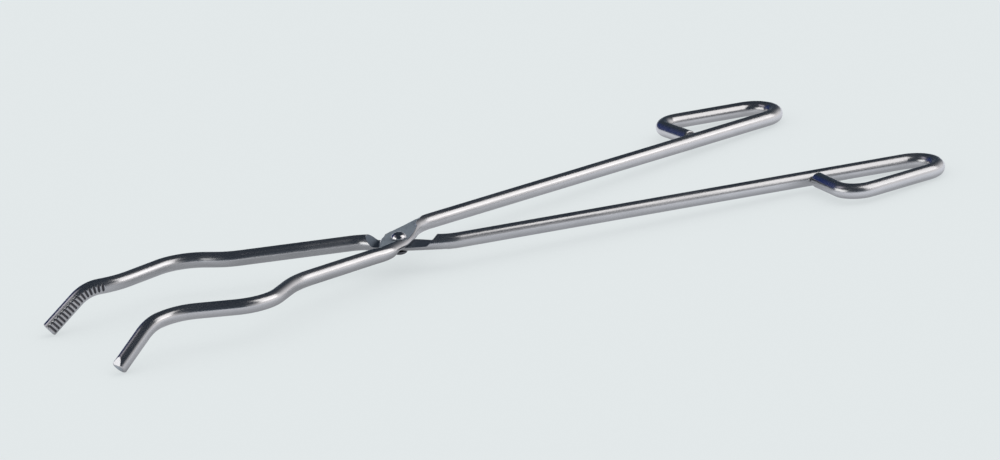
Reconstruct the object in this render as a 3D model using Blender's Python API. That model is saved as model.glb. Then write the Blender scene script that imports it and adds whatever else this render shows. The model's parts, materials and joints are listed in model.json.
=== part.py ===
"""Crucible tongs: two mirrored bent rods that cross at one domed rivet.

Metres, +Z up. The jaws point to -X, the finger loops to +X. Both arms are drawn flat in one
plane, the tongs' plane, with the rivet's axis at its origin. An empty then tilts that plane a
little, until the bent-down jaw tips and the undersides of the finger loops stand on z = 0.
"""
import math

import bmesh
import bpy
from mathutils import Matrix, Vector

# ---- driving dimensions (metres, radians) ----
ROD_RADIUS = 0.0025
ROD_SIDES = 24
BEND_STEP = math.radians(11.0)

# Pivot laps: each rod is pressed to a plate, one on each side of the tongs' plane.
LAP_HALF_WIDTH = 0.0046
LAP_HALF_LENGTH = 0.0165
LAP_GAP = 0.0003
LAP_THICKNESS = 0.0016
LAP_RING_STEP = 0.0018
MATING_LEVEL = -0.00035
SEAT_REACH_TO_JAW = 0.0085
SEAT_REACH_TO_HANDLE = 0.0105
FACE_REACH_TO_JAW = 0.0115
FACE_REACH_TO_HANDLE = 0.0150
SHOULDER_SLOPE = 1.0

# Rivet: a shank through both laps with a dome on each end.
RIVET_SHANK_RADIUS = 0.0015
RIVET_HEAD_RADIUS = 0.0025
RIVET_DOME_HEIGHT = 0.0021
RIVET_TAIL_HEIGHT = 0.0014
RIVET_HEAD_GAP = 0.0002
RIVET_SIDES = 32
DOME_STEPS = 6
HOLE_RADIUS = 0.00175

# Jaws: flat serrated inner faces that meet when each arm has turned by this much.
CLOSING_HALF_ANGLE = math.radians(12.3)
JAW_FACE_GAP = 0.0003
TOOTH_PITCH = 0.0014
TOOTH_COUNT = 16
TOOTH_DEPTH = 0.0004
TOOTH_START = 0.0012

# Centre line of each rod, from the cut jaw tip to the cut end of the finger loop, as corners
# (x, y, z, bend radius) of the bent rod. The first and last corner are the ends.
UPPER_ARM_CORNERS = (
    (-0.1113, -0.0265, -0.0119, 0.0),
    (-0.0987, -0.0241, 0.0, 0.012),
    (-0.0880, -0.0215, 0.0, 0.018),
    (-0.0625, -0.0325, 0.0, 0.015),
    (-0.0449, -0.0168, 0.0, 0.025),
    (-0.0130, -0.0088, 0.0, 0.012),
    (0.0145, 0.0153, 0.0, 0.016),
    (0.1680, 0.0497, 0.0, 0.008),
    (0.1645, 0.0632, 0.0, 0.008),
    (0.1284, 0.0679, 0.0, 0.007),
    (0.1299, 0.0445, 0.0, 0.0),
)
LOWER_ARM_CORNERS = (
    (-0.1113, 0.0265, -0.0119, 0.0),
    (-0.0987, 0.0240, 0.0, 0.012),
    (-0.0885, 0.0222, 0.0, 0.016),
    (-0.0625, 0.0325, 0.0, 0.015),
    (-0.0504, 0.0217, 0.0, 0.018),
    (-0.0095, 0.0099, 0.0, 0.012),
    (0.0130, -0.0095, 0.0, 0.012),
    (0.1760, -0.0306, 0.0, 0.008),
    (0.1730, -0.0447, 0.0, 0.008),
    (0.1357, -0.0517, 0.0, 0.007),
    (0.1363, -0.0289, 0.0, 0.0),
)

UP = Vector((0.0, 0.0, 1.0))
STEEL_COLOR = (0.60, 0.60, 0.61, 1.0)
RIVET_COLOR = (0.66, 0.66, 0.67, 1.0)


def clear_scene():
    for obj in list(bpy.data.objects):
        bpy.data.objects.remove(obj, do_unlink=True)


def make_material(name, color, roughness, metallic):
    material = bpy.data.materials.new(name)
    material.use_nodes = True
    shader = material.node_tree.nodes["Principled BSDF"]
    shader.inputs["Base Color"].default_value = color
    shader.inputs["Roughness"].default_value = roughness
    shader.inputs["Metallic"].default_value = metallic
    return material


def mesh_object(name, vertices, faces, material=None):
    mesh = bpy.data.meshes.new(name)
    mesh.from_pydata([tuple(v) for v in vertices], [], faces)
    outward = bmesh.new()
    outward.from_mesh(mesh)
    bmesh.ops.recalc_face_normals(outward, faces=outward.faces)
    outward.to_mesh(mesh)
    outward.free()
    obj = bpy.data.objects.new(name, mesh)
    bpy.context.scene.collection.objects.link(obj)
    if material:
        mesh.materials.append(material)
    return obj


def bent_path(corners):
    """Centre line points: straight runs between the corners, an arc of points in each bend."""
    points = [Vector(corners[0][:3])]
    for before, corner, after in zip(corners, corners[1:], corners[2:]):
        at = Vector(corner[:3])
        back = (Vector(before[:3]) - at).normalized()
        ahead = (Vector(after[:3]) - at).normalized()
        turn = math.pi - back.angle(ahead)
        radius = corner[3]
        centre = at + (back + ahead).normalized() * (radius / math.cos(turn / 2.0))
        start = at + back * (radius * math.tan(turn / 2.0))
        axis = (-back).cross(ahead).normalized()
        steps = max(2, math.ceil(turn / BEND_STEP))
        for i in range(steps + 1):
            spin = Matrix.Rotation(turn * i / steps, 3, axis)
            points.append(centre + spin @ (start - centre))
    points.append(Vector(corners[-1][:3]))
    return points


def refine_near_pivot(points):
    """Adds points where the rod swells into its lap, which lies around the origin."""
    refined = [points[0]]
    for a, b in zip(points, points[1:]):
        run = b - a
        nearest = a + run * min(1.0, max(0.0, -a.dot(run) / run.length_squared))
        if nearest.length < LAP_HALF_LENGTH:
            first = max(0.0, (nearest - a).length - LAP_HALF_LENGTH * 1.2)
            last = min(run.length, (nearest - a).length + LAP_HALF_LENGTH * 1.2)
            count = max(1, math.ceil((last - first) / LAP_RING_STEP))
            for i in range(count + 1):
                along = first + (last - first) * i / count
                point = a + run.normalized() * along
                if (point - refined[-1]).length > LAP_RING_STEP * 0.3:
                    refined.append(point)
        if (b - refined[-1]).length > LAP_RING_STEP * 0.3:
            refined.append(b)
        else:
            refined[-1] = b
    return refined


def half_width(point):
    """Half width of the rod's section: it swells smoothly where the lap is pressed."""
    away = min(1.0, point.length / LAP_HALF_LENGTH)
    swell = (1.0 - away * away) ** 2
    return ROD_RADIUS + (LAP_HALF_WIDTH - ROD_RADIUS) * swell


def rod(name, points, material):
    """A closed rod along the points, with flat ends."""
    vertices = []
    for i, point in enumerate(points):
        before = points[max(i - 1, 0)]
        after = points[min(i + 1, len(points) - 1)]
        entering = (point - before).normalized() if i else (after - point).normalized()
        leaving = (after - point).normalized() if i < len(points) - 1 else entering
        tangent = (entering + leaving).normalized()
        side = UP.cross(tangent).normalized()
        rise = tangent.cross(side)
        width = half_width(point)
        for k in range(ROD_SIDES):
            angle = 2.0 * math.pi * (k + 0.5) / ROD_SIDES
            offset = side * (width * math.cos(angle)) + rise * (ROD_RADIUS * math.sin(angle))
            vertices.append(point + offset)
    faces = []
    for i in range(len(points) - 1):
        for k in range(ROD_SIDES):
            a = i * ROD_SIDES + k
            b = i * ROD_SIDES + (k + 1) % ROD_SIDES
            faces.append((a, b, b + ROD_SIDES, a + ROD_SIDES))
    faces.append(tuple(reversed(range(ROD_SIDES))))
    last = (len(points) - 1) * ROD_SIDES
    faces.append(tuple(range(last, last + ROD_SIDES)))
    obj = mesh_object(name, vertices, faces, material)
    return obj


def prism(name, outline, direction, depth):
    """A closed cutter: the outline pushed along direction by depth."""
    count = len(outline)
    vertices = list(outline) + [p + direction * depth for p in outline]
    faces = [tuple(reversed(range(count))), tuple(range(count, 2 * count))]
    for k in range(count):
        n = (k + 1) % count
        faces.append((k, n, n + count, k + count))
    obj = mesh_object(name, vertices, faces)
    obj.display_type = "WIRE"
    obj.hide_render = True
    return obj


def cut(target, cutter, name):
    modifier = target.modifiers.new(name, "BOOLEAN")
    modifier.operation = "DIFFERENCE"
    modifier.solver = "EXACT"
    modifier.object = cutter
    cutter.parent = target


def lap_direction(corners):
    """Direction of the straight run that crosses the rivet."""
    inner = min(range(len(corners) - 1), key=lambda i: run_distance(corners[i], corners[i + 1]))
    return (Vector(corners[inner + 1][:3]) - Vector(corners[inner][:3])).normalized()


def run_distance(a, b):
    start = Vector(a[:3])
    run = Vector(b[:3]) - start
    nearest = start + run * min(1.0, max(0.0, -start.dot(run) / run.length_squared))
    return nearest.length


def trough_cutter(name, along, to_jaw, to_handle, base, top):
    """A wide cutter across the rod from height base to height top, with sloping ends.

    to_jaw and to_handle are how far its flat floor reaches from the rivet along the lap.
    """
    across = UP.cross(along)
    flare = abs(top - base) * SHOULDER_SLOPE
    wide = LAP_HALF_WIDTH * 3.0
    outline = [
        along * -to_jaw + UP * base,
        along * to_handle + UP * base,
        along * (to_handle + flare) + UP * top,
        along * -(to_jaw + flare) + UP * top,
    ]
    outline = [p + across * wide for p in outline]
    return prism(name, outline, -across, 2.0 * wide)


def hole_cutter(name):
    reach = ROD_RADIUS * 2.0
    outline = []
    for k in range(RIVET_SIDES):
        angle = 2.0 * math.pi * k / RIVET_SIDES
        outline.append(Vector((math.cos(angle), math.sin(angle), 0.0)) * HOLE_RADIUS - UP * reach)
    return prism(name, outline, UP, 2.0 * reach)


def jaw_cutter(name, corners, side):
    """Planes the inner face of the jaw tip: the faces of both arms meet in the closed tongs.

    side is +1 for the arm whose jaw lies at +Y. Its face lies on a line through the rivet,
    turned by the closing angle, and the teeth are notches across that face.
    """
    toward_tip = Matrix.Rotation(-side * CLOSING_HALF_ANGLE, 3, UP) @ Vector((-1.0, 0.0, 0.0))
    inward = Vector((0.0, -side, 0.0))
    inward = (inward - toward_tip * inward.dot(toward_tip)).normalized()
    face = inward * (-JAW_FACE_GAP / 2.0)
    tip = Vector(corners[0][:3])
    bend = Vector(corners[1][:3])
    start = toward_tip * (bend.length * 0.8) + face
    stop = toward_tip * (tip.length * 1.1) + face
    outline = [start, stop, stop + inward * 0.006, start + inward * 0.006]
    low = -UP * 0.02
    return prism(name, [p + low for p in outline], UP, 0.03), face, inward


def tooth_cutters(name, path, side, face, inward):
    """Notches across the inner face, square to the rod's centre line, one every pitch."""
    cutters = []
    walked = 0.0
    target = TOOTH_START
    for a, b in zip(path, path[1:]):
        length = (b - a).length
        tangent = (b - a) / length
        while target <= walked + length and len(cutters) < TOOTH_COUNT:
            centre = a + tangent * (target - walked)
            on_face = centre + inward * (face - centre).dot(inward)
            rise = tangent.cross(inward).normalized()
            half = TOOTH_PITCH * 0.42
            proud = inward * TOOTH_DEPTH
            outline = [
                on_face - tangent * half * 2.0 + proud,
                on_face - proud,
                on_face + tangent * half * 2.0 + proud,
            ]
            outline = [p - rise * 0.003 for p in outline]
            cutters.append(prism(name + str(len(cutters)), outline, rise, 0.006))
            target += TOOTH_PITCH
        walked += length
    return cutters


def make_arm(name, corners, side, level, material):
    """One arm. side is +1 for the jaw at +Y; level is +1 for the upper lap, -1 for the lower."""
    path = bent_path(corners)
    arm = rod(name, refine_near_pivot(path), material)
    along = lap_direction(corners)
    seat = MATING_LEVEL + level * LAP_GAP / 2.0
    face = seat + level * LAP_THICKNESS
    far = level * ROD_RADIUS * 2.0
    seat_cut = trough_cutter(
        name + "_seat_cut", along, SEAT_REACH_TO_JAW, SEAT_REACH_TO_HANDLE, seat, -far)
    face_cut = trough_cutter(
        name + "_face_cut", along, FACE_REACH_TO_JAW, FACE_REACH_TO_HANDLE, face, far)
    cut(arm, seat_cut, "seat")
    cut(arm, face_cut, "face")
    cut(arm, hole_cutter(name + "_hole_cut"), "hole")
    planer, face_point, inward = jaw_cutter(name + "_jaw_cut", corners, side)
    cut(arm, planer, "jaw")
    for i, notch in enumerate(tooth_cutters(name + "_tooth", path, side, face_point, inward)):
        cut(arm, notch, "tooth" + str(i))
    arm.data.shade_smooth()
    arm.data.set_sharp_from_angle(angle=math.radians(35.0))
    return arm


def dome(base, height):
    """Half profile (radius, z) of a rivet head, from its rim at z = base to near its crown."""
    profile = []
    for i in range(DOME_STEPS):
        angle = math.pi / 2.0 * i / DOME_STEPS
        profile.append((RIVET_HEAD_RADIUS * math.cos(angle), base + height * math.sin(angle)))
    return profile


def make_rivet(material):
    """A turned rivet: shank and two domed heads, as one closed body around the joint's axis."""
    reach = LAP_GAP / 2.0 + LAP_THICKNESS + RIVET_HEAD_GAP
    top = MATING_LEVEL + reach
    bottom = MATING_LEVEL - reach
    profile = list(reversed(dome(bottom, -RIVET_TAIL_HEIGHT)))
    profile += [(RIVET_SHANK_RADIUS, bottom), (RIVET_SHANK_RADIUS, top)]
    profile += dome(top, RIVET_DOME_HEIGHT)
    vertices = [Vector((0.0, 0.0, bottom - RIVET_TAIL_HEIGHT))]
    for radius, z in profile:
        for k in range(RIVET_SIDES):
            angle = 2.0 * math.pi * k / RIVET_SIDES
            vertices.append(Vector((radius * math.cos(angle), radius * math.sin(angle), z)))
    vertices.append(Vector((0.0, 0.0, top + RIVET_DOME_HEIGHT)))
    faces = []
    for k in range(RIVET_SIDES):
        n = (k + 1) % RIVET_SIDES
        faces.append((0, 1 + n, 1 + k))
        for i in range(len(profile) - 1):
            low = 1 + i * RIVET_SIDES
            high = low + RIVET_SIDES
            faces.append((low + k, low + n, high + n, high + k))
        rim = 1 + (len(profile) - 1) * RIVET_SIDES
        faces.append((rim + k, rim + n, len(vertices) - 1))
    rivet = mesh_object("rivet", vertices, faces, material)
    rivet.data.shade_smooth()
    rivet.data.set_sharp_from_angle(angle=math.radians(35.0))
    return rivet


def stand_on_floor(plane, objects):
    """Tilts the tongs' plane until tips and loops touch z = 0, then centres the box on x, y."""
    depsgraph = bpy.context.evaluated_depsgraph_get()
    points = []
    for obj in objects:
        evaluated = obj.evaluated_get(depsgraph)
        points += [v.co.copy() for v in evaluated.to_mesh().vertices]
        evaluated.to_mesh_clear()
    jaws = [p for p in points if p.x < 0.0]
    loops = [p for p in points if p.x > 0.0]
    low, high = 0.0, math.radians(10.0)
    for _ in range(40):
        tilt = (low + high) / 2.0
        turn = Matrix.Rotation(tilt, 3, "Y")
        if min((turn @ p).z for p in jaws) < min((turn @ p).z for p in loops):
            low = tilt
        else:
            high = tilt
    turned = [turn @ p for p in points]
    x_values = [p.x for p in turned]
    y_values = [p.y for p in turned]
    plane.rotation_euler = (0.0, tilt, 0.0)
    plane.location = (
        -(min(x_values) + max(x_values)) / 2.0,
        -(min(y_values) + max(y_values)) / 2.0,
        -min(p.z for p in turned),
    )


clear_scene()
plane = bpy.data.objects.new("tongs_plane", None)
bpy.context.scene.collection.objects.link(plane)
steel_upper = make_material("steel_upper", STEEL_COLOR, 0.18, 1.0)
steel_lower = make_material("steel_lower", STEEL_COLOR, 0.18, 1.0)
steel_rivet = make_material("steel_rivet", RIVET_COLOR, 0.12, 1.0)
upper_arm = make_arm("upper_arm", UPPER_ARM_CORNERS, -1, +1, steel_upper)
lower_arm = make_arm("lower_arm", LOWER_ARM_CORNERS, +1, -1, steel_lower)
rivet_piece = make_rivet(steel_rivet)
pieces = [upper_arm, lower_arm, rivet_piece]
stand_on_floor(plane, pieces)
for piece in pieces:
    piece.parent = plane
bpy.context.view_layer.update()
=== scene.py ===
"""Crucible tongs: two polished steel rods that cross at one domed rivet, on a pale studio floor.

The three pieces are rebuilt here finely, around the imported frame. Lengths are in metres. The
shapes are made in the tongs' own plane, with the rivet's axis at the origin, X toward the finger
loops and Z up, and the place and axis of the rivet's hinge lay that plane on the frame.
"""
import json
import math

import bmesh
import bpy
from mathutils import Matrix, Vector, noise


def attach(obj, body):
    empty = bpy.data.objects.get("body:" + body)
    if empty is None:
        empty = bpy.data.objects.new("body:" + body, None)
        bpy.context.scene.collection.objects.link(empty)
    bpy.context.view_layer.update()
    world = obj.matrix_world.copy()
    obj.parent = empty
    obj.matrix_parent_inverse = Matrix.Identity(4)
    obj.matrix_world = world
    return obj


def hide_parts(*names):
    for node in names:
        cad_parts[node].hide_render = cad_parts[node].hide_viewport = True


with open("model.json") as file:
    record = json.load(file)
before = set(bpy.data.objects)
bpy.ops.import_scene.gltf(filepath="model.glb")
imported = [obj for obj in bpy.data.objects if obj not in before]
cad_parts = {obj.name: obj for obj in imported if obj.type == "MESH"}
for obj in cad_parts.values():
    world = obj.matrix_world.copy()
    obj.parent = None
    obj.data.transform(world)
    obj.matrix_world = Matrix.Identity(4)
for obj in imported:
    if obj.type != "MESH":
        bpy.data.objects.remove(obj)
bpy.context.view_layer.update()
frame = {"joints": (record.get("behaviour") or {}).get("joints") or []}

UP = Vector((0.0, 0.0, 1.0))

# ---- sizes of the rods ----
ROD_RADIUS = 0.0025
# The cut ends' chamfer is round by this share, and straight by the rest.
END_CHAMFER = 0.00035
END_ROUNDNESS = 0.3
# Where the rods cross, each is pressed flat and wide: the lap. It has a seat on the other lap and a
# face on its outer side. The two seats meet at the mating level, but for a gap.
LAP_HALF_WIDTH = 0.0052
LAP_HALF_LENGTH = 0.0165
LAP_GAP = 0.0003
LAP_THICKNESS = 0.0016
MATING_LEVEL = -0.00035
HOLE_RADIUS = 0.00175
# The upper lap is pressed out further on its left, looking toward the handle, and past the rivet.
UPPER_LAP_LEFT = 0.0061
UPPER_LAP_LEFT_AHEAD = 0.0037
UPPER_LAP_RIGHT = 0.0045
# Its seat is relieved out there, to clear the lower arm's shoulder when the jaws are open.
RELIEF_FROM_RIVET = 0.0077
RELIEF_FROM_MIDDLE = 0.0046
RELIEF_SLOPE = 0.9
RELIEF_THINNEST = 0.0004
# How far each flat reaches from the rivet before a shoulder rises to the full rod.
SEAT_REACH_TO_JAW = 0.0080
SEAT_REACH_TO_HANDLE = 0.0092
LOWER_FACE_REACH_TO_JAW = 0.0100
LOWER_FACE_REACH_TO_HANDLE = 0.0150
UPPER_FACE_REACH_TO_JAW = 0.0135
UPPER_FACE_REACH_TO_HANDLE = 0.0232
SHOULDER_SLOPE = 1.3
SHOULDER_BLEND = 0.0009
UPPER_FACE_SLOPE = 3.5
UPPER_FACE_BLEND = 0.0003
# Near edge of the upper lap's face: (along the lap toward the handle, across it to the left).
UPPER_FACE_EDGE = (
    (-0.0150, 0.0036), (-0.0130, 0.0021), (-0.0101, 0.0012), (-0.0072, 0.0003),
    (-0.0048, -0.0004), (-0.0034, -0.0014), (-0.0020, -0.0024), (0.0004, -0.0028),
    (0.0060, -0.00265), (0.0095, -0.0019), (0.0138, -0.00090), (0.0152, 0.0001),
    (0.0170, 0.0006), (0.0205, 0.0006), (0.0240, 0.0010),
)
UPPER_FACE_EDGE_LEAN = 0.9
# The inner face of each jaw is planed flat and toothed. The two faces are parallel and a gap apart
# when each arm has turned by this angle from rest.
CLOSING_HALF_ANGLE = math.radians(12.3)
JAW_FACE_GAP = 0.00055
TOOTH_PITCH = 0.0014
TOOTH_COUNT = 16
TOOTH_DEPTH = 0.00036
TOOTH_START = 0.0012
GROOVE_HALF_WIDTH_PER_PITCH = 0.46
# The bevel on the upper front of the upper arm's jaw tip.
BEVEL_LENGTH = 0.0026
BEVEL_DEPTH = 0.00075
BEVEL_TURN = math.radians(8.0)
# The slight unevenness of a rod bent by hand; its Y noise is read this far from its X noise.
WAVER = 0.00005
WAVER_PER_METRE = 45.0
WAVER_Y_APART = UP * 7.0

# Corners (x, y, z, bend radius) of each rod, from the jaw tip to the cut end of the finger loop.
UPPER_ARM_CORNERS = (
    (-0.1116, -0.02675, -0.0119, 0.0),
    (-0.0987, -0.02430, -0.0008, 0.012),
    (-0.0880, -0.0215, 0.0, 0.018),
    (-0.0625, -0.0325, 0.0, 0.015),
    (-0.0449, -0.0168, 0.0, 0.025),
    (-0.0085, -0.0070, 0.0, 0.012),
    (0.0145, 0.0153, 0.0, 0.016),
    (0.1680, 0.0497, 0.0, 0.008),
    (0.1645, 0.0632, 0.0, 0.008),
    (0.1277, 0.0678, 0.0, 0.007),
    (0.1292, 0.0445, 0.0, 0.0),
)
LOWER_ARM_CORNERS = (
    (-0.1115, 0.02675, -0.0119, 0.0),
    (-0.0987, 0.02425, -0.0005, 0.012),
    (-0.0885, 0.0222, 0.0, 0.016),
    (-0.0625, 0.0325, 0.0, 0.015),
    (-0.0504, 0.0217, 0.0, 0.018),
    (-0.0095, 0.0099, 0.0, 0.012),
    (0.0130, -0.0095, 0.0, 0.012),
    (0.1760, -0.0306, 0.0, 0.008),
    (0.1730, -0.0447, 0.0, 0.008),
    (0.1357, -0.0517, 0.0, 0.007),
    (0.1363, -0.0289, 0.0, 0.0),
)

# ---- sizes of the rivet ----
RIVET_SHANK_RADIUS = 0.0015
RIVET_HEAD_RADIUS = 0.0025
RIVET_HEAD_GAP = 0.0002
RIVET_DOME_HEIGHT = 0.0021
RIVET_TAIL_HEIGHT = 0.0014
# Each dome stands on a short rim: (how far it is set in, its share of the dome's height). The round
# part starts at the last share.
RIVET_RIM = ((0.0002, 0.0), (0.00005, 0.04))
RIVET_ROUND_FROM = 0.10

# ---- fineness of the visible meshes ----
# A ring of columns goes round the rod at each station. Rings are closer in the fine stretches, of
# the lap and the jaw, and where these end their columns fade from the worked edges to even ones.
COLUMNS = 64
STRAIGHT_STATION = 0.0025
BEND_STATION = math.radians(4.0)
LAP_STATION = 0.0003
LAP_FINE_REACH = 0.0290
LAP_FADE = 0.004
TOOTH_STATIONS = 10
JAW_FINE_LENGTH = 0.036
JAW_FADE = 0.003
# Each cut end has a ring at this share of its chamfer, and its cap one at this share of its radius.
END_RING_SHARE = 0.3
CAP_RING_SHARE = 0.5
# Two columns stand on each worked edge. On a lap these are the first of each two, for the left edge
# of the seat, the left and right edges of the face, and the right edge of the seat. On a jaw the
# nearer of each two is this many columns from the middle of its face.
LAP_EDGE_COLUMNS = (-3, 7, 24, 34)
JAW_EDGE_COLUMNS = 5
EDGE_HALF_ANGLE = math.radians(1.9)
# The edge of a face is sought from the rod's side up to the highest angle, and the edge of a seat
# through the whole search angle, from as far below the side. A jaw's edge columns stand no nearer
# to the middle of its face than the narrowest angle.
EDGE_HIGHEST = math.radians(80.0)
SEAT_EDGE_SEARCH = EDGE_HIGHEST * 1.8
JAW_NARROWEST = math.radians(14.0)
EDGE_HALVINGS = 22
# A surface counts as ground where pressing moves it by more than this.
GROUND_LEAST = 1e-6
RIVET_SIDES = 64
RIVET_DOME_RINGS = 14
DRILL_SIDES = 48
DRILL_HALF_HEIGHT = 0.006
ARM_SHARP = math.radians(28.0)
RIVET_SHARP = math.radians(40.0)

# ---- how ground a worked surface is: 0 is polished, 1 is matte ----
GROUND_LAP = 1.0
GROUND_UPPER_SEAT = 0.35
GROUND_JAW_FACE = 0.2
GROUND_BEVEL = 0.15
GROUND_CUT_END = 0.8


# ---- the rods' centre lines ----
def centre_line(corners):
    """The bent rod as runs (length, start, direction, centre, axis, turn); arcs have a centre."""
    runs = []
    here = Vector(corners[0][:3])
    for before, corner, after in zip(corners, corners[1:], corners[2:]):
        at = Vector(corner[:3])
        back = (Vector(before[:3]) - at).normalized()
        ahead = (Vector(after[:3]) - at).normalized()
        turn = math.pi - back.angle(ahead)
        radius = corner[3]
        tangent_length = radius * math.tan(turn / 2.0)
        start = at + back * tangent_length
        centre = at + (back + ahead).normalized() * (radius / math.cos(turn / 2.0))
        axis = (-back).cross(ahead).normalized()
        runs.append(((start - here).length, here, -back, None, None, 0.0))
        runs.append((radius * turn, start, -back, centre, axis, turn))
        here = at + ahead * tangent_length
    last = Vector(corners[-1][:3])
    runs.append(((last - here).length, here, (last - here).normalized(), None, None, 0.0))
    return runs


def walk(runs, distance):
    """Point, tangent and local bend radius (None on a straight) at a distance along the rod."""
    left = distance
    for index, (length, start, direction, centre, axis, turn) in enumerate(runs):
        if left <= length or index == len(runs) - 1:
            if centre is None:
                return start + direction * left, direction, None
            spin = Matrix.Rotation(turn * left / length, 3, axis)
            return centre + spin @ (start - centre), spin @ direction, (start - centre).length
        left -= length


def stations(runs):
    """Distances along the rod where it gets a ring, and the rod's length."""
    total = sum(run[0] for run in runs)
    end_marks = [0.0, END_CHAMFER * END_RING_SHARE, END_CHAMFER]
    marks = list(end_marks)
    while marks[-1] < total - END_CHAMFER:
        here = marks[-1]
        point, _, bend = walk(runs, here)
        step = STRAIGHT_STATION
        if bend:
            step = min(step, bend * BEND_STATION)
        if here < JAW_FINE_LENGTH:
            step = TOOTH_PITCH / TOOTH_STATIONS
        elif point.length < LAP_FINE_REACH:
            step = LAP_STATION
        marks.append(here + step)
    while marks[-1] > total - END_CHAMFER * (1.0 + END_RING_SHARE):
        marks.pop()
    return marks + [total - mark for mark in reversed(end_marks)], total


# ---- small measures ----
def ease(value, low, high):
    """0 below low, 1 above high, smooth between."""
    part = min(1.0, max(0.0, (value - low) / (high - low)))
    return part * part * (3.0 - 2.0 * part)


def beyond(along, to_jaw, to_handle):
    """How far a place on the lap is past a flat's reach, 0 within it."""
    return max(0.0, -along - to_jaw, along - to_handle)


def rising(past, blend):
    """A ramp that starts level and reaches slope one after about the blend length."""
    return math.hypot(past, blend) - blend


def edge_across(edge, along):
    """Second coordinate of a broken line at a place along its first, level beyond its ends."""
    for (a, across_a), (b, across_b) in zip(edge, edge[1:]):
        if along < b:
            part = max(0.0, (along - a) / (b - a))
            return across_a + (across_b - across_a) * part
    return edge[-1][1]


def swollen(widest, away):
    """Half width of the pressed rod at a distance from the lap's widest place."""
    part = min(1.0, away / LAP_HALF_LENGTH)
    return ROD_RADIUS + (widest - ROD_RADIUS) * (1.0 - part * part) ** 2


def end_inset(end):
    """How far the rod's surface is set in, this close to a cut end."""
    if end >= END_CHAMFER:
        return 0.0
    part = end / END_CHAMFER
    rounded = math.sqrt(1.0 - (1.0 - part) ** 2)
    return END_CHAMFER * (1.0 - rounded * END_ROUNDNESS - part * (1.0 - END_ROUNDNESS))


def tooth_depth(distance):
    """Depth of the cross grooves along the jaw face."""
    place = (distance - TOOTH_START) / TOOTH_PITCH
    if not -0.5 < place < TOOTH_COUNT - 0.5:
        return 0.0
    fall = abs(place - round(place)) / GROOVE_HALF_WIDTH_PER_PITCH
    return TOOTH_DEPTH * max(0.0, 1.0 - fall)


def waver(point, seed):
    """Shift of a hand-bent rod in the tongs' plane, at a point of its centre line."""
    spot = point * WAVER_PER_METRE + Vector((seed, 0.0, 0.0))
    return Vector((noise.noise(spot), noise.noise(spot + WAVER_Y_APART), 0.0)) * WAVER


# ---- angles round a ring: 0 is its left, a quarter turn is its side away from the other arm ----
def crossing(inside, top):
    """The angle, at most top, up to which inside(angle) holds from 0 on, by halving."""
    if inside(top):
        return top
    low, high = 0.0, top
    for _ in range(EDGE_HALVINGS):
        middle = (low + high) / 2.0
        if inside(middle):
            low = middle
        else:
            high = middle
    return low


def astride(column, angle):
    """Keys (column, angle) of the two columns that stand on an edge."""
    return [(column, angle - EDGE_HALF_ANGLE), (column + 1, angle + EDGE_HALF_ANGLE)]


def spread(keys):
    """Angles of all the columns of a ring, evenly between the keys."""
    angles = [0.0] * COLUMNS
    closed = keys + [(keys[0][0] + COLUMNS, keys[0][1] + 2.0 * math.pi)]
    for (a, angle_a), (b, angle_b) in zip(closed, closed[1:]):
        for column in range(a, b):
            angles[column % COLUMNS] = angle_a + (angle_b - angle_a) * (column - a) / (b - a)
    return angles


def drawn_toward(even, keyed, weight):
    """Angles part of the way from the even ones to the keyed ones, the short way round."""
    return [a + math.remainder(b - a, 2.0 * math.pi) * weight for a, b in zip(even, keyed)]


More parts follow.
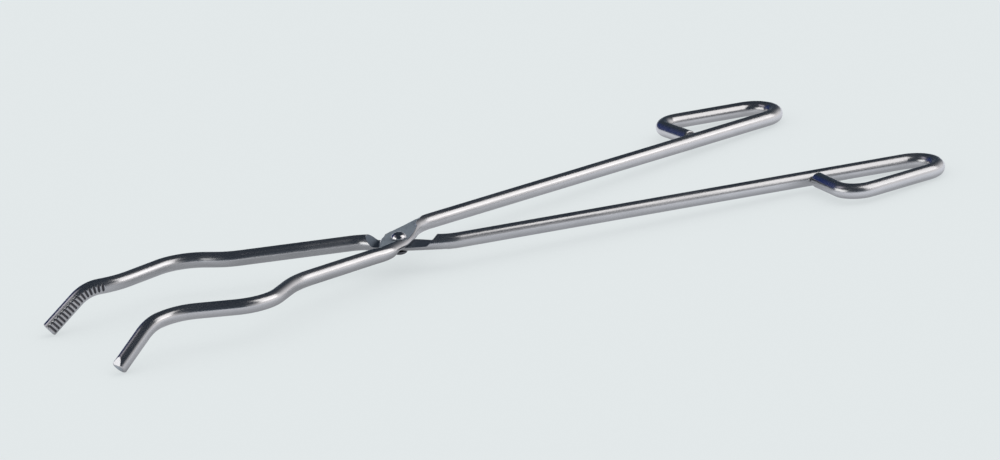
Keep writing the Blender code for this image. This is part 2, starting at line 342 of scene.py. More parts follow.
# ---- the arms ----
class Arm:
    """Cuts and measures of one arm. side is +1 for the jaw at +Y, level +1 for the upper lap.

    Heights on a lap are counted from the rod's centre away from the other arm.
    """

    def __init__(self, corners, side, level):
        self.level = level
        self.runs = centre_line(corners)
        self.seat = level * MATING_LEVEL + LAP_GAP / 2.0
        self.face = self.seat + LAP_THICKNESS
        straights = self.runs[::2]
        self.along = min(straights, key=self.off_pivot)[2]
        toward_tip = Matrix.Rotation(-side * CLOSING_HALF_ANGLE, 3, UP) @ Vector((-1.0, 0.0, 0.0))
        inward = Vector((0.0, -side, 0.0))
        self.inward = (inward - toward_tip * inward.dot(toward_tip)).normalized()
        self.inner_angle = 0.0 if side < 0 else math.pi

    @staticmethod
    def off_pivot(run):
        """Least distance of a straight run from the rivet's axis."""
        length, start, direction = run[:3]
        return (start + direction * min(length, max(0.0, -start.dot(direction)))).length

    def on_lap(self, point):
        """The point's place along the lap toward the handle, and across it to the left."""
        return point.dot(self.along), point.dot(UP.cross(self.along))

    def half_widths(self, centre):
        """Half width on the left and on the right, looking toward the handle."""
        if self.level < 0:
            return (swollen(LAP_HALF_WIDTH, centre.length),) * 2
        left = swollen(UPPER_LAP_LEFT, (centre - self.along * UPPER_LAP_LEFT_AHEAD).length)
        return left, swollen(UPPER_LAP_RIGHT, centre.length)

    def ceiling(self, point):
        """Height that the outer side of the rod is pressed down to."""
        along, across = self.on_lap(point)
        if self.level < 0:
            past = beyond(along, LOWER_FACE_REACH_TO_JAW, LOWER_FACE_REACH_TO_HANDLE)
            return self.face + rising(past, SHOULDER_BLEND) * SHOULDER_SLOPE
        past = beyond(along, UPPER_FACE_REACH_TO_JAW, UPPER_FACE_REACH_TO_HANDLE)
        past = max(past, (edge_across(UPPER_FACE_EDGE, along) - across) * UPPER_FACE_EDGE_LEAN)
        return self.face + rising(past, UPPER_FACE_BLEND) * UPPER_FACE_SLOPE

    def floor(self, point):
        """Height that the side toward the other arm is pressed up to."""
        along, across = self.on_lap(point)
        past = beyond(along, SEAT_REACH_TO_JAW, SEAT_REACH_TO_HANDLE)
        level = self.seat - rising(past, SHOULDER_BLEND) * SHOULDER_SLOPE
        outward = min(point.length - RELIEF_FROM_RIVET, across - RELIEF_FROM_MIDDLE, along)
        if self.level > 0 and outward > 0.0:
            level = min(level + outward * RELIEF_SLOPE, self.face - RELIEF_THINNEST)
        return level

    def jaw_room(self, point, distance):
        """How far the point is inside the planed and toothed jaw face (negative is outside)."""
        return -JAW_FACE_GAP / 2.0 - tooth_depth(distance) - point.dot(self.inward)


class Ring:
    """The section of an arm at one distance along its rod, first swollen and then worked."""

    def __init__(self, arm, distance, total):
        self.arm = arm
        self.distance = distance
        self.centre, tangent, _ = walk(arm.runs, distance)
        self.leftward = UP.cross(tangent).normalized()
        upward = tangent.cross(self.leftward)
        self.outward = upward * arm.level
        self.bevel = upward * math.cos(BEVEL_TURN) - self.leftward * math.sin(BEVEL_TURN)
        left, right = arm.half_widths(self.centre)
        inset = end_inset(min(distance, total - distance))
        self.left, self.right, self.high = left - inset, right - inset, ROD_RADIUS - inset
        self.lap = 1.0 - ease(self.centre.length, LAP_FINE_REACH - LAP_FADE, LAP_FINE_REACH)
        self.jaw = 1.0 - ease(distance, JAW_FINE_LENGTH - JAW_FADE, JAW_FINE_LENGTH)

    def sideways(self, angle):
        return math.cos(angle) * (self.left if math.cos(angle) > 0.0 else self.right)

    def height(self, angle):
        return self.high * math.sin(angle)

    def unworked(self, angle):
        """Point of the swollen rod, before its flats are pressed and planed."""
        flat = self.centre + self.leftward * self.sideways(angle)
        return flat + self.outward * self.height(angle)

    def lap_keys(self):
        """Keys at the four edges of the lap."""
        def from_side(side, angle):
            return angle if side == "left" else math.pi - angle

        def face_edge(side):
            def below_ceiling(angle):
                point = self.unworked(from_side(side, angle))
                return self.height(angle) < self.arm.ceiling(point)
            return from_side(side, crossing(below_ceiling, EDGE_HIGHEST))

        def seat_edge(side):
            def below_floor(rise):
                angle = rise - EDGE_HIGHEST
                point = self.unworked(from_side(side, angle))
                return self.height(angle) < self.arm.floor(point)
            return from_side(side, crossing(below_floor, SEAT_EDGE_SEARCH) - EDGE_HIGHEST)

        edges = (seat_edge("left"), face_edge("left"), face_edge("right"), seat_edge("right"))
        return [key for column, edge in zip(LAP_EDGE_COLUMNS, edges) for key in astride(column, edge)]

    def jaw_keys(self):
        """Keys at the two edges of the planed jaw face."""
        middle = self.arm.inner_angle

        def half_angle(turn):
            def planed(angle):
                point = self.unworked(middle + turn * angle)
                return self.arm.jaw_room(point, self.distance) < 0.0
            return max(JAW_NARROWEST, crossing(planed, EDGE_HIGHEST))

        middle_column = 0 if middle == 0.0 else COLUMNS // 2
        return (astride(middle_column - JAW_EDGE_COLUMNS - 1, middle - half_angle(-1.0))
                + astride(middle_column + JAW_EDGE_COLUMNS, middle + half_angle(1.0)))

    def angles(self):
        """Angles of the columns, drawn toward the edges where the rod is worked."""
        even = [2.0 * math.pi * k / COLUMNS for k in range(COLUMNS)]
        if self.jaw > 0.0:
            return drawn_toward(even, spread(self.jaw_keys()), self.jaw)
        if self.lap > 0.0:
            return drawn_toward(even, spread(self.lap_keys()), self.lap)
        return even

    def worked(self, angle):
        """Point of the worked rod, how ground it is, and how deep it is in a groove (0 to 1)."""
        arm, point = self.arm, self.unworked(angle)
        ground, groove = 0.0, 0.0
        if self.lap > 0.0:
            height = self.height(angle)
            pressed = min(max(height, arm.floor(point)), arm.ceiling(point))
            if abs(pressed - height) > GROUND_LEAST:
                on_upper_seat = arm.level > 0 and pressed > height
                ground = GROUND_UPPER_SEAT if on_upper_seat else GROUND_LAP
                point = point + self.outward * (pressed - height)
        if self.jaw > 0.0:
            room = arm.jaw_room(point, self.distance)
            if room < 0.0:
                ground = GROUND_JAW_FACE
                groove = tooth_depth(self.distance) / TOOTH_DEPTH
                point = point + arm.inward * room
        if arm.level > 0 and self.distance < BEVEL_LENGTH:
            room = ROD_RADIUS - BEVEL_DEPTH * (1.0 - self.distance / BEVEL_LENGTH)
            room -= (point - self.centre).dot(self.bevel)
            if room < 0.0:
                ground = GROUND_BEVEL
                point = point + self.bevel * room
        return point, ground, groove

    def straightened(self, angle):
        """Place on the rod before it was bent, for the patterns that run along it."""
        return Vector((self.sideways(angle), self.height(angle), self.distance))


# ---- meshes ----
def skin(bm, rings):
    """Joins each ring of vertices to the next with four-sided faces."""
    for near, far in zip(rings, rings[1:]):
        for k in range(len(near)):
            n = (k + 1) % len(near)
            bm.faces.new((near[k], near[n], far[n], far[k]))


def finished_mesh(bm, name):
    bmesh.ops.recalc_face_normals(bm, faces=bm.faces)
    mesh = bpy.data.meshes.new(name)
    bm.to_mesh(mesh)
    bm.free()
    return mesh


def arm_mesh(name, arm, seed):
    """One arm as a closed skin, with its patterns' places and its finish kept at each vertex. It
    wavers from the ends of the fine stretches on, and fully from twice as far."""
    bm = bmesh.new()
    straight_layer = bm.verts.layers.float_vector.new("straight")
    ground_layer = bm.verts.layers.float.new("ground")
    groove_layer = bm.verts.layers.float.new("groove")
    rings = []
    marks, total = stations(arm.runs)
    for distance in marks:
        ring = Ring(arm, distance, total)
        calm = ease(ring.centre.length, LAP_FINE_REACH, LAP_FINE_REACH * 2.0)
        calm *= ease(distance, JAW_FINE_LENGTH, JAW_FINE_LENGTH * 2.0)
        offset = waver(ring.centre, seed) * calm
        verts = []
        for angle in ring.angles():
            point, ground, groove = ring.worked(angle)
            vert = bm.verts.new(point + offset)
            vert[straight_layer] = ring.straightened(angle)
            vert[ground_layer] = ground
            vert[groove_layer] = groove
            verts.append(vert)
        rings.append(verts)
    skin(bm, rings)
    for rim in (rings[0], rings[-1]):
        middle = sum((vert.co for vert in rim), Vector()) / COLUMNS
        inner = []
        for vert in rim:
            copy = bm.verts.new(middle.lerp(vert.co, CAP_RING_SHARE))
            copy[straight_layer] = vert[straight_layer] * CAP_RING_SHARE
            copy[ground_layer] = GROUND_CUT_END
            inner.append(copy)
        hub = bm.verts.new(middle)
        hub[ground_layer] = GROUND_CUT_END
        skin(bm, (rim, inner))
        for k in range(COLUMNS):
            bm.faces.new((inner[k], inner[(k + 1) % COLUMNS], hub))
    return finished_mesh(bm, name)


def turned_mesh(name, profile, sides):
    """A closed turned body from its profile of (radius, z), poles at both ends."""
    bm = bmesh.new()
    bottom = bm.verts.new((0.0, 0.0, profile[0][1]))
    top = bm.verts.new((0.0, 0.0, profile[-1][1]))
    rings = []
    for radius, z in profile[1:-1]:
        ring = []
        for k in range(sides):
            angle = 2.0 * math.pi * k / sides
            ring.append(bm.verts.new((radius * math.cos(angle), radius * math.sin(angle), z)))
        rings.append(ring)
    skin(bm, rings)
    for k in range(sides):
        n = (k + 1) % sides
        bm.faces.new((rings[0][n], rings[0][k], bottom))
        bm.faces.new((rings[-1][k], rings[-1][n], top))
    return finished_mesh(bm, name)


def rivet_dome(base, height):
    """Profile of one head, from its rim to just short of its pole; a tail has height below 0."""
    profile = [(RIVET_HEAD_RADIUS - inset, base + height * rise) for inset, rise in RIVET_RIM]
    for i in range(RIVET_DOME_RINGS):
        angle = math.pi / 2.0 * i / RIVET_DOME_RINGS
        rise = RIVET_ROUND_FROM + (1.0 - RIVET_ROUND_FROM) * math.sin(angle)
        profile.append((RIVET_HEAD_RADIUS * math.cos(angle), base + height * rise))
    return profile


def rivet_profile():
    """Profile of the rivet from the pole of its tail to the pole of its head."""
    reach = LAP_GAP / 2.0 + LAP_THICKNESS + RIVET_HEAD_GAP
    top, bottom = MATING_LEVEL + reach, MATING_LEVEL - reach
    profile = [(0.0, bottom - RIVET_TAIL_HEIGHT)]
    profile += list(reversed(rivet_dome(bottom, -RIVET_TAIL_HEIGHT)))
    profile += [(RIVET_SHANK_RADIUS, bottom), (RIVET_SHANK_RADIUS, top)]
    profile += rivet_dome(top, RIVET_DOME_HEIGHT)
    profile.append((0.0, top + RIVET_DOME_HEIGHT))
    return profile


# ---- the tongs' plane in the frame ----
hinge = frame["joints"][0]
pivot = Vector(hinge["pos_m"])
hinge_axis = Vector(hinge["axis"]).normalized()
tilt = math.atan2(hinge_axis.x, hinge_axis.z)
plane_to_frame = Matrix.Translation(pivot) @ Matrix.Rotation(tilt, 4, "Y")


def new_object(name, data):
    obj = bpy.data.objects.new(name, data)
    bpy.context.scene.collection.objects.link(obj)
    return obj


def place(name, mesh, sharp):
    """Lays a mesh made in the tongs' plane on the frame, smooth but for its sharp edges."""
    mesh.transform(plane_to_frame)
    mesh.shade_smooth()
    mesh.set_sharp_from_angle(angle=sharp)
    return new_object(name, mesh)


def bore(obj):
    """Drills the rivet's hole through the lap and applies the cut."""
    drill_mesh = turned_mesh("drill", [
        (0.0, -DRILL_HALF_HEIGHT), (HOLE_RADIUS, -DRILL_HALF_HEIGHT),
        (HOLE_RADIUS, DRILL_HALF_HEIGHT), (0.0, DRILL_HALF_HEIGHT)], DRILL_SIDES)
    drill_mesh.transform(plane_to_frame)
    drill = new_object("drill", drill_mesh)
    cut = obj.modifiers.new("hole", "BOOLEAN")
    cut.operation = "DIFFERENCE"
    cut.solver = "EXACT"
    cut.object = drill
    depsgraph = bpy.context.evaluated_depsgraph_get()
    bored = bpy.data.meshes.new_from_object(obj.evaluated_get(depsgraph))
    obj.modifiers.clear()
    solid = obj.data
    obj.data = bored
    bored.name = solid.name
    bored.materials.clear()
    bored.set_sharp_from_angle(angle=ARM_SHARP)
    bpy.data.meshes.remove(solid)
    bpy.data.objects.remove(drill)
    bpy.data.meshes.remove(drill_mesh)


# ---- shader nodes ----
class Nodes:
    """Short calls for building a node tree."""

    def __init__(self, tree):
        self.tree = tree
        tree.nodes.clear()

    def add(self, kind, **settings):
        node = self.tree.nodes.new(kind)
        for key, value in settings.items():
            setattr(node, key, value)
        return node

    def link(self, output, socket):
        self.tree.links.new(output, socket)

    def feed(self, socket, value):
        """Gives an input either a link from an output or a plain value."""
        if hasattr(value, "is_linked"):
            self.link(value, socket)
        else:
            socket.default_value = value

    def math(self, operation, a, b=None):
        node = self.add("ShaderNodeMath", operation=operation)
        self.feed(node.inputs[0], a)
        if b is not None:
            self.feed(node.inputs[1], b)
        return node.outputs[0]

    def vector_math(self, operation, vector, constant):
        node = self.add("ShaderNodeVectorMath", operation=operation)
        self.link(vector, node.inputs[0])
        node.inputs[1].default_value = constant
        return node

    def coordinates(self, kind):
        return self.add("ShaderNodeTexCoord").outputs[kind]

    def attribute(self, name, kind="Fac"):
        return self.add("ShaderNodeAttribute", attribute_name=name).outputs[kind]

    def seen_by_gloss(self):
        """1 for what a polished surface mirrors, 0 for everything else."""
        return self.add("ShaderNodeLightPath").outputs["Is Glossy Ray"]

    def noise(self, vector, scale, stretch=(1.0, 1.0, 1.0), detail=3.0, rough=0.5):
        mapping = self.add("ShaderNodeMapping")
        mapping.inputs["Scale"].default_value = [scale * s for s in stretch]
        self.link(vector, mapping.inputs["Vector"])
        node = self.add("ShaderNodeTexNoise")
        node.inputs["Scale"].default_value = 1.0
        node.inputs["Detail"].default_value = detail
        node.inputs["Roughness"].default_value = rough
        self.link(mapping.outputs["Vector"], node.inputs["Vector"])
        return node.outputs["Fac"]

    def ramp(self, factor, stops):
        stops = list(stops)
        node = self.add("ShaderNodeValToRGB")
        elements = node.color_ramp.elements
        while len(elements) < len(stops):
            elements.new(0.5)
        for element, (position, color) in zip(elements, stops):
            element.position = position
            element.color = (*color, 1.0)
        self.link(factor, node.inputs["Fac"])
        return node.outputs["Color"]

    def span(self, value, low, high, to_low, to_high, smooth=False):
        """The value stretched from low..high to to_low..to_high, level beyond."""
        node = self.add("ShaderNodeMapRange")
        node.interpolation_type = "SMOOTHSTEP" if smooth else "LINEAR"
        node.inputs["From Min"].default_value = low
        node.inputs["From Max"].default_value = high
        node.inputs["To Min"].default_value = to_low
        node.inputs["To Max"].default_value = to_high
        self.link(value, node.inputs["Value"])
        return node.outputs["Result"]

    def mix_color(self, factor, a, b):
        node = self.add("ShaderNodeMix", data_type="RGBA")
        for socket, value in zip((node.inputs[0], node.inputs[6], node.inputs[7]), (factor, a, b)):
            self.feed(socket, value)
        return node.outputs[2]

    def mix_shader(self, factor, a, b):
        node = self.add("ShaderNodeMixShader")
        for socket, value in zip(node.inputs, (factor, a, b)):
            self.feed(socket, value)
        return node.outputs[0]

    def glow(self, kind, color, strength=1.0):
        """An emission or a background, by its kind of node."""
        node = self.add(kind)
        self.feed(node.inputs["Color"], color)
        self.feed(node.inputs["Strength"], strength)
        return node.outputs[0]

    def bump(self, height, strength, distance, over=None):
        """A bumped normal, laid over another one if given."""
        node = self.add("ShaderNodeBump")
        self.feed(node.inputs["Strength"], strength)
        node.inputs["Distance"].default_value = distance
        self.link(height, node.inputs["Height"])
        if over is not None:
            self.link(over, node.inputs["Normal"])
        return node.outputs["Normal"]


# ---- steel ----
# Noise patterns: (features per metre, their share across, up and along the rod, detail, roughness).
DRAWN_LINES = (5200.0, (1.0, 1.0, 0.02), 2.0, 0.5)
CLOUDS = (260.0, (1.0, 1.0, 0.45), 3.0, 0.55)
GRIT = (1900.0, (1.0, 1.0, 0.35), 4.0, 0.65)
SMUDGES = (90.0, (1.0, 1.0, 0.6), 2.0, 0.5)
# The patterns are shifted this way, by each rod's seed.
SEED_DIRECTION = (1.0, 0.37, 0.11)
# Bumps: (strength, depth).
DRAWN_BUMP = (0.10, 0.00002)
SWELL_BUMP = (0.20, 0.00012)
PIT_STRENGTH, PIT_DEPTH = 0.35, 0.00003
# The rod's colour follows a mix of clouds and drawn lines. The stops are where on its noise the
# darker and the lighter colour stand.
CLOUD_SHARE, DRAWN_SHARE = 0.7, 0.3
TINT_STOPS = (0.30, 0.68)
FLAT_STOPS = (0.30, 0.70)
# Painted shade in the tooth grooves: this dark colour, laid on by how deep a place is in its groove.
GROOVE_SHADE_COLOR = (0.035, 0.035, 0.042, 1.0)
# Spans: (from low, from high, to low, to high).
GROOVE_SHADE_SPAN = (0.12, 0.55, 0.0, 0.92)
SMUDGED_ROUGHNESS = (0.35, 0.70, 0.19, 0.28)
DRAWN_ROUGHNESS = (0.3, 0.7, -0.02, 0.04)
GROUND_ROUGHNESS = (0.3, 0.7, 0.50, 0.66)
# How ground a surface is where it starts to be less metallic, and where it is only as metallic as
# a flat.
GROUND_LESS_METALLIC = (0.5, 0.95)
RIVET_CLOUDS = 900.0
RIVET_LINES = 4200.0
RIVET_STOPS = (0.3, 0.7)
RIVET_TINTS = ((0.60, 0.60, 0.61), (0.72, 0.72, 0.72))
RIVET_ROUGHNESS = (0.3, 0.7, 0.09, 0.17)
RIVET_BUMP = (0.15, 0.00004)
# The rivet's tail is painted darker, as painted shade on its underside; the change lies between these
# heights from the hinge's place.
RIVET_TAIL_SHADE_COLOR = (0.16, 0.165, 0.18, 1.0)
RIVET_TAIL_FROM, RIVET_TAIL_TO = -0.0016, -0.0010


def steel_material(name):
    """A new material, its nodes, and its principled shader, wired to the output."""
    material = bpy.data.materials.new(name)
    material.use_nodes = True
    nodes = Nodes(material.node_tree)
    steel = nodes.add("ShaderNodeBsdfPrincipled")
    nodes.link(steel.outputs["BSDF"], nodes.add("ShaderNodeOutputMaterial").inputs["Surface"])
    return material, nodes, steel.inputs


def polished_steel(name, tints, flats, flat_metal, seed):
    """Drawn and polished rod: lengthwise drawing lines, soft smudges and fine scratches, matte
    flats where the attribute ground says so, and painted shade in the grooves where groove says so.
    tints are the rod's darker and lighter colour, flats those of its flats, with painted reflection
    and painted shade tinted in, flat_metal how metallic those are."""
    material, nodes, steel = steel_material(name)
    ground = nodes.attribute("ground")
    groove = nodes.attribute("groove")
    rod = nodes.vector_math("ADD", nodes.attribute("straight", "Vector"),
                            [seed * part for part in SEED_DIRECTION]).outputs["Vector"]
    drawn = nodes.noise(rod, *DRAWN_LINES)
    cloud = nodes.noise(rod, *CLOUDS)
    grit = nodes.noise(rod, *GRIT)
    smudge = nodes.noise(rod, *SMUDGES)

    streaks = nodes.math("ADD", nodes.math("MULTIPLY", cloud, CLOUD_SHARE),
                         nodes.math("MULTIPLY", drawn, DRAWN_SHARE))
    body = nodes.ramp(streaks, zip(TINT_STOPS, tints))
    flat = nodes.ramp(grit, zip(FLAT_STOPS, flats))
    # Painted shade in the tooth grooves, by how deep a place is in its groove.
    groove_shade = nodes.span(groove, *GROOVE_SHADE_SPAN, smooth=True)
    worked = nodes.mix_color(ground, body, flat)
    nodes.link(nodes.mix_color(groove_shade, worked, GROOVE_SHADE_COLOR), steel["Base Color"])
    nodes.link(nodes.span(ground, *GROUND_LESS_METALLIC, 1.0, flat_metal), steel["Metallic"])

    shine = nodes.math("ADD", nodes.span(smudge, *SMUDGED_ROUGHNESS),
                       nodes.span(drawn, *DRAWN_ROUGHNESS))
    matte = nodes.span(grit, *GROUND_ROUGHNESS)
    duller = nodes.math("MULTIPLY", nodes.math("SUBTRACT", matte, shine), ground)
    nodes.link(nodes.math("ADD", shine, duller), steel["Roughness"])

    lines = nodes.bump(drawn, *DRAWN_BUMP)
    swell = nodes.bump(cloud, *SWELL_BUMP, over=lines)
    pit_strength = nodes.math("MULTIPLY", ground, PIT_STRENGTH)
    nodes.link(nodes.bump(grit, pit_strength, PIT_DEPTH, over=swell), steel["Normal"])
    return material


def rivet_steel(name):
    """Bright steel of the rivet, faintly clouded, with painted shade on its tail."""
    material, nodes, steel = steel_material(name)
    steel["Metallic"].default_value = 1.0
    spot = nodes.coordinates("Object")
    cloud = nodes.noise(spot, RIVET_CLOUDS)
    fine = nodes.noise(spot, RIVET_LINES)
    axes = nodes.add("ShaderNodeSeparateXYZ")
    nodes.link(spot, axes.inputs[0])
    # Painted shade on the rivet's tail, on its underside.
    tail = nodes.span(axes.outputs["Z"], pivot.z + RIVET_TAIL_FROM, pivot.z + RIVET_TAIL_TO, 1.0, 0.0)
    bright = nodes.ramp(cloud, zip(RIVET_STOPS, RIVET_TINTS))
    nodes.link(nodes.mix_color(tail, bright, RIVET_TAIL_SHADE_COLOR), steel["Base Color"])
    nodes.link(nodes.span(fine, *RIVET_ROUGHNESS), steel["Roughness"])
    nodes.link(nodes.bump(cloud, *RIVET_BUMP), steel["Normal"])
    return material


# ---- the three pieces ----
UPPER_SEED = 3.1
LOWER_SEED = 8.7

upper_arm = Arm(UPPER_ARM_CORNERS, -1, 1)
lower_arm = Arm(LOWER_ARM_CORNERS, 1, -1)
upper = place("upper_arm_rod", arm_mesh("upper_arm_rod", upper_arm, UPPER_SEED), ARM_SHARP)
lower = place("lower_arm_rod", arm_mesh("lower_arm_rod", lower_arm, LOWER_SEED), ARM_SHARP)
bore(upper)
bore(lower)
rivet = place("pivot_rivet", turned_mesh("pivot_rivet", rivet_profile(), RIVET_SIDES), RIVET_SHARP)

# The flats' colours hold painted reflection: bluish grey on the upper arm; on the lower arm darker and
# teal, painted shade where the upper lap covers it and a painted reflection of the dark back.
upper.data.materials.append(polished_steel(
    "polished_steel_upper",
    tints=((0.585, 0.585, 0.59), (0.665, 0.66, 0.66)),
    flats=((0.36, 0.415, 0.47), (0.50, 0.57, 0.63)), flat_metal=0.74, seed=0.31))
lower.data.materials.append(polished_steel(
    "polished_steel_lower",
    tints=((0.575, 0.58, 0.585), (0.655, 0.655, 0.66)),
    flats=((0.175, 0.215, 0.26), (0.27, 0.315, 0.365)), flat_metal=1.0, seed=0.83))
rivet.data.materials.append(rivet_steel("rivet_steel"))

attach(upper, "upper_arm_body")
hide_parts("upper_arm")
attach(lower, "lower_arm_body")
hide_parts("lower_arm")
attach(rivet, "lower_arm_body")
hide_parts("rivet")


# ---- floor ----
FLOOR_REACH = 8.0
FLOOR_DROP = 0.0001
FLOOR_COLOR = (0.775, 0.820, 0.830, 1.0)
FLOOR_GLOW = 0.985
FLOOR_GLOW_SHARE = 0.72
# Most of what polished steel sees of the floor is this glowing painted reflection instead, with a
# painted shadow: dim between the jaws' bows and brighter outward, as (distance from the middle of
# the bows, brightness).
MIRRORED_SHARE = 0.85
MIRRORED_TINT = (0.945, 0.965, 1.05)
MIRRORED_SHADOW_MIDDLE_FROM_RIVET = (-0.045, 0.0)
MIRRORED_REACH = 0.4
MIRRORED_SHADOW_FALLOFF = (
    (0.0, 0.30), (0.03, 0.42), (0.06, 0.58), (0.10, 0.62), (0.14, 0.72), (0.20, 0.88), (0.4, 0.95),
)
# It is also darker close under the rods: how far they shade it, between which shares of open
# surroundings, and the brightness at those.
UNDER_RODS_REACH = 0.03
UNDER_RODS_SAMPLES = 8
UNDER_RODS_OPEN = (0.55, 1.0)
UNDER_RODS_BRIGHTNESS = (0.45, 1.06)


def floor_material():
    material = bpy.data.materials.new("studio_floor")
    material.use_nodes = True
    nodes = Nodes(material.node_tree)
    paper = nodes.add("ShaderNodeBsdfDiffuse")
    paper.inputs["Color"].default_value = FLOOR_COLOR
    glow = nodes.glow("ShaderNodeEmission", FLOOR_COLOR, FLOOR_GLOW)
    lit = nodes.mix_shader(FLOOR_GLOW_SHARE, paper.outputs[0], glow)

    # Painted reflection of the floor for polished steel: a glow, with a painted shadow round the jaws'
    # bows.
    middle_x, middle_y = MIRRORED_SHADOW_MIDDLE_FROM_RIVET
    away = nodes.vector_math("DISTANCE", nodes.coordinates("Object"),
                             (pivot.x + middle_x, pivot.y + middle_y, 0.0)).outputs["Value"]
    stops = [(at / MIRRORED_REACH, [level * part for part in MIRRORED_TINT]) for at, level in MIRRORED_SHADOW_FALLOFF]
    color = nodes.ramp(nodes.span(away, 0.0, MIRRORED_REACH, 0.0, 1.0), stops)
    under_rods = nodes.add("ShaderNodeAmbientOcclusion", samples=UNDER_RODS_SAMPLES)
    under_rods.inputs["Distance"].default_value = UNDER_RODS_REACH
    brightness = nodes.span(under_rods.outputs["AO"], *UNDER_RODS_OPEN, *UNDER_RODS_BRIGHTNESS)
    mirrored = nodes.glow("ShaderNodeEmission", color, brightness)

    share = nodes.math("MULTIPLY", nodes.seen_by_gloss(), MIRRORED_SHARE)
    output = nodes.add("ShaderNodeOutputMaterial")
    nodes.link(nodes.mix_shader(share, lit, mirrored), output.inputs["Surface"])
    return material


def floor_mesh():
    mesh = bpy.data.meshes.new("studio_floor")
    r = FLOOR_REACH
    mesh.from_pydata([(-r, -r, 0.0), (r, -r, 0.0), (r, r, 0.0), (-r, r, 0.0)], [], [(0, 1, 2, 3)])
    mesh.materials.append(floor_material())
    return mesh


studio_floor = new_object("studio_floor", floor_mesh())
studio_floor.location.z = -FLOOR_DROP


# ---- studio light ----
# Two soft boxes that only polished surfaces see: (name, centre from the rivet, size, direction
# they face as azimuth and dip in degrees, strength, colour). Azimuth 0 faces along +Y.
SOFT_BOXES = (
    ("box_right", (0.440, -0.216, 0.360), (0.594, 0.46), (27.8, 40.0), 1.28, (1.0, 0.97, 0.96)),
    ("box_left", (-0.467, 0.082, 0.155), (0.63, 0.30), (-100.0, 24.0), 1.40, (1.0, 0.985, 0.97)),
)
# A wide sun for the soft shadows on the floor, from this direction; steel doesn't mirror it.
SUN_FROM = (0.45, -0.35, 0.85)
SUN_ENERGY = 0.25
SUN_WIDTH = math.radians(40.0)
SUN_COLOR = (1.0, 0.99, 0.97)
# The walls and ceiling that steel mirrors: (share of the way up to the ceiling, colour), from
# just below the horizon to the elevation where the ceiling begins, in radians.
WALL_BOTTOM, WALL_TOP = -0.05, 0.6
WALLS = ((0.0, (0.13, 0.16, 0.21)), (0.30, (0.032, 0.047, 0.068)), (1.0, (0.024, 0.033, 0.048)))
# Patches on them: azimuth, half width, elevation, half height, soft edge (degrees) and colour.
# Azimuth 0 is the front (-Y), 90 the right (+X).
WALL_PATCHES = (
    (-158.0, 24.0, 16.0, 16.0, 10.0, (0.012, 0.028, 0.130)),
    (-128.0, 14.0, 46.0, 10.0, 8.0, (0.62, 0.58, 0.66)),
    (24.0, 20.0, 8.0, 12.0, 12.0, (0.46, 0.46, 0.48)),
    (74.0, 46.0, 6.0, 16.0, 22.0, (0.92, 0.90, 0.92)),
)
# Whatever isn't seen in a reflection gets an even white light from all round.
AMBIENT = 0.93


def soft_box(name, centre, size, facing, strength, color):
    light = bpy.data.lights.new(name, "AREA")
    light.shape = "RECTANGLE"
    light.size, light.size_y = size
    light.energy = strength * math.pi * size[0] * size[1]
    light.color = color
    azimuth, dip = (math.radians(angle) for angle in facing)
    toward = Vector((
        -math.sin(azimuth) * math.cos(dip), math.cos(azimuth) * math.cos(dip), -math.sin(dip)))
    box = new_object(name, light)
    box.location = pivot + Vector(centre)
    box.rotation_euler = toward.to_track_quat("-Z", "Y").to_euler()
    box.visible_camera = False
    box.visible_diffuse = False


def wide_sun():
    light = bpy.data.lights.new("soft_key", "SUN")
    light.energy = SUN_ENERGY
    light.angle = SUN_WIDTH
    light.color = SUN_COLOR
    sun = new_object("soft_key", light)
    sun.visible_glossy = False
    sun.rotation_euler = Vector(SUN_FROM).to_track_quat("Z", "Y").to_euler()


def patch_share(nodes, off, half, soft):
    """1 inside a patch's half extent, 0 outside, with a soft edge, from the angle off its middle."""
    return nodes.span(off, max(0.0, half - soft), half + soft, 1.0, 0.0, smooth=True)


def mirrored_walls(nodes):
    """Colour of the walls and the ceiling by direction."""
    axes = nodes.add("ShaderNodeSeparateXYZ")
    nodes.link(nodes.coordinates("Generated"), axes.inputs[0])
    from_front = nodes.math("MULTIPLY", axes.outputs["Y"], -1.0)
    azimuth = nodes.math("ARCTAN2", axes.outputs["X"], from_front)
    elevation = nodes.math("ARCSINE", axes.outputs["Z"])
    color = nodes.ramp(nodes.span(elevation, WALL_BOTTOM, WALL_TOP, 0.0, 1.0), WALLS)
    for *degrees, patch_color in WALL_PATCHES:
        middle, half_width, level, half_height, soft = (math.radians(angle) for angle in degrees)
        off_middle = nodes.math("ABSOLUTE", nodes.math("SUBTRACT", azimuth, middle))
        off_middle = nodes.math("MINIMUM", off_middle, nodes.math("SUBTRACT", 2.0 * math.pi, off_middle))
        off_level = nodes.math("ABSOLUTE", nodes.math("SUBTRACT", elevation, level))
        share = nodes.math("MULTIPLY", patch_share(nodes, off_middle, half_width, soft),
                           patch_share(nodes, off_level, half_height, soft))
        color = nodes.mix_color(share, color, (*patch_color, 1.0))
    return color


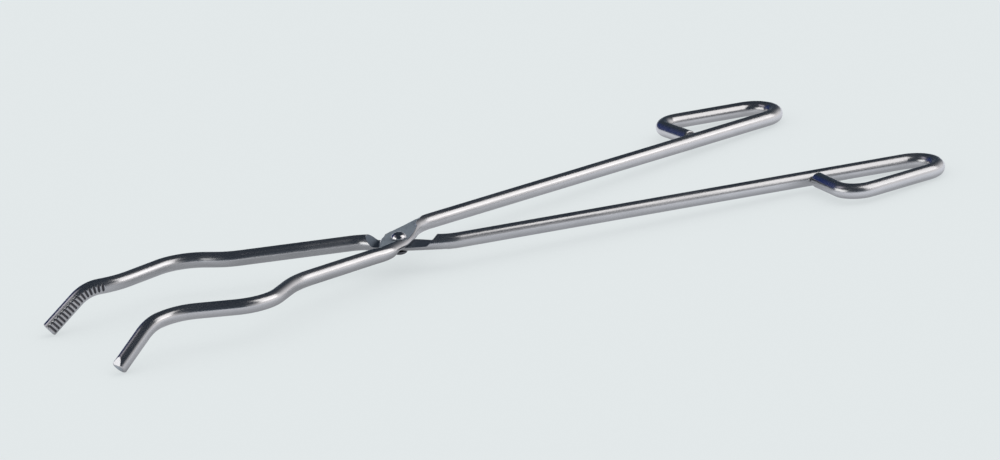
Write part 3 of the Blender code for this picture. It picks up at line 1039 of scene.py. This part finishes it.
def studio_world():
    world = bpy.data.worlds.new("studio")
    world.use_nodes = True
    nodes = Nodes(world.node_tree)
    mirrored = nodes.glow("ShaderNodeBackground", mirrored_walls(nodes))
    ambient = nodes.glow("ShaderNodeBackground", (1.0, 1.0, 1.0, 1.0), AMBIENT)
    output = nodes.add("ShaderNodeOutputWorld")
    nodes.link(nodes.mix_shader(nodes.seen_by_gloss(), ambient, mirrored), output.inputs["Surface"])
    bpy.context.scene.world = world


for box in SOFT_BOXES:
    soft_box(*box)
studio_world()
wide_sun()

bpy.context.scene.view_settings.view_transform = "Standard"
bpy.context.scene.view_settings.look = "None"


# ---- camera: a long lens, from the tongs' left front ----
CAMERA_AZIMUTH = math.radians(-24.454)
CAMERA_ELEVATION = math.radians(16.884)
CAMERA_ROLL = math.radians(7.092)
CAMERA_DISTANCE = 2.64436
CAMERA_LENS_MM = 299.88
CAMERA_SENSOR_MM = 36.0
CAMERA_CLIP = (0.01, 100.0)
# It aims this far beside and above the rivet, as shares of the distance.
AIM_RIGHT, AIM_UP = 0.012088, 0.001586


def studio_camera():
    back = Vector((
        math.sin(CAMERA_AZIMUTH) * math.cos(CAMERA_ELEVATION),
        -math.cos(CAMERA_AZIMUTH) * math.cos(CAMERA_ELEVATION),
        math.sin(CAMERA_ELEVATION),
    ))
    level_right = Vector((math.cos(CAMERA_AZIMUTH), math.sin(CAMERA_AZIMUTH), 0.0))
    level_up = back.cross(level_right)
    rolled_right = level_right * math.cos(CAMERA_ROLL) - level_up * math.sin(CAMERA_ROLL)
    rolled_up = level_right * math.sin(CAMERA_ROLL) + level_up * math.cos(CAMERA_ROLL)
    look = (-back + rolled_right * AIM_RIGHT + rolled_up * AIM_UP).normalized()
    right = (rolled_right - look * rolled_right.dot(look)).normalized()
    lens = bpy.data.cameras.new("camera")
    lens.lens = CAMERA_LENS_MM
    lens.sensor_width = CAMERA_SENSOR_MM
    lens.clip_start, lens.clip_end = CAMERA_CLIP
    camera = new_object("camera", lens)
    camera.location = pivot + back * CAMERA_DISTANCE
    camera.rotation_mode = "QUATERNION"
    camera.rotation_quaternion = Matrix((right, right.cross(look), -look)).transposed().to_quaternion()
    return camera


bpy.context.scene.camera = studio_camera()
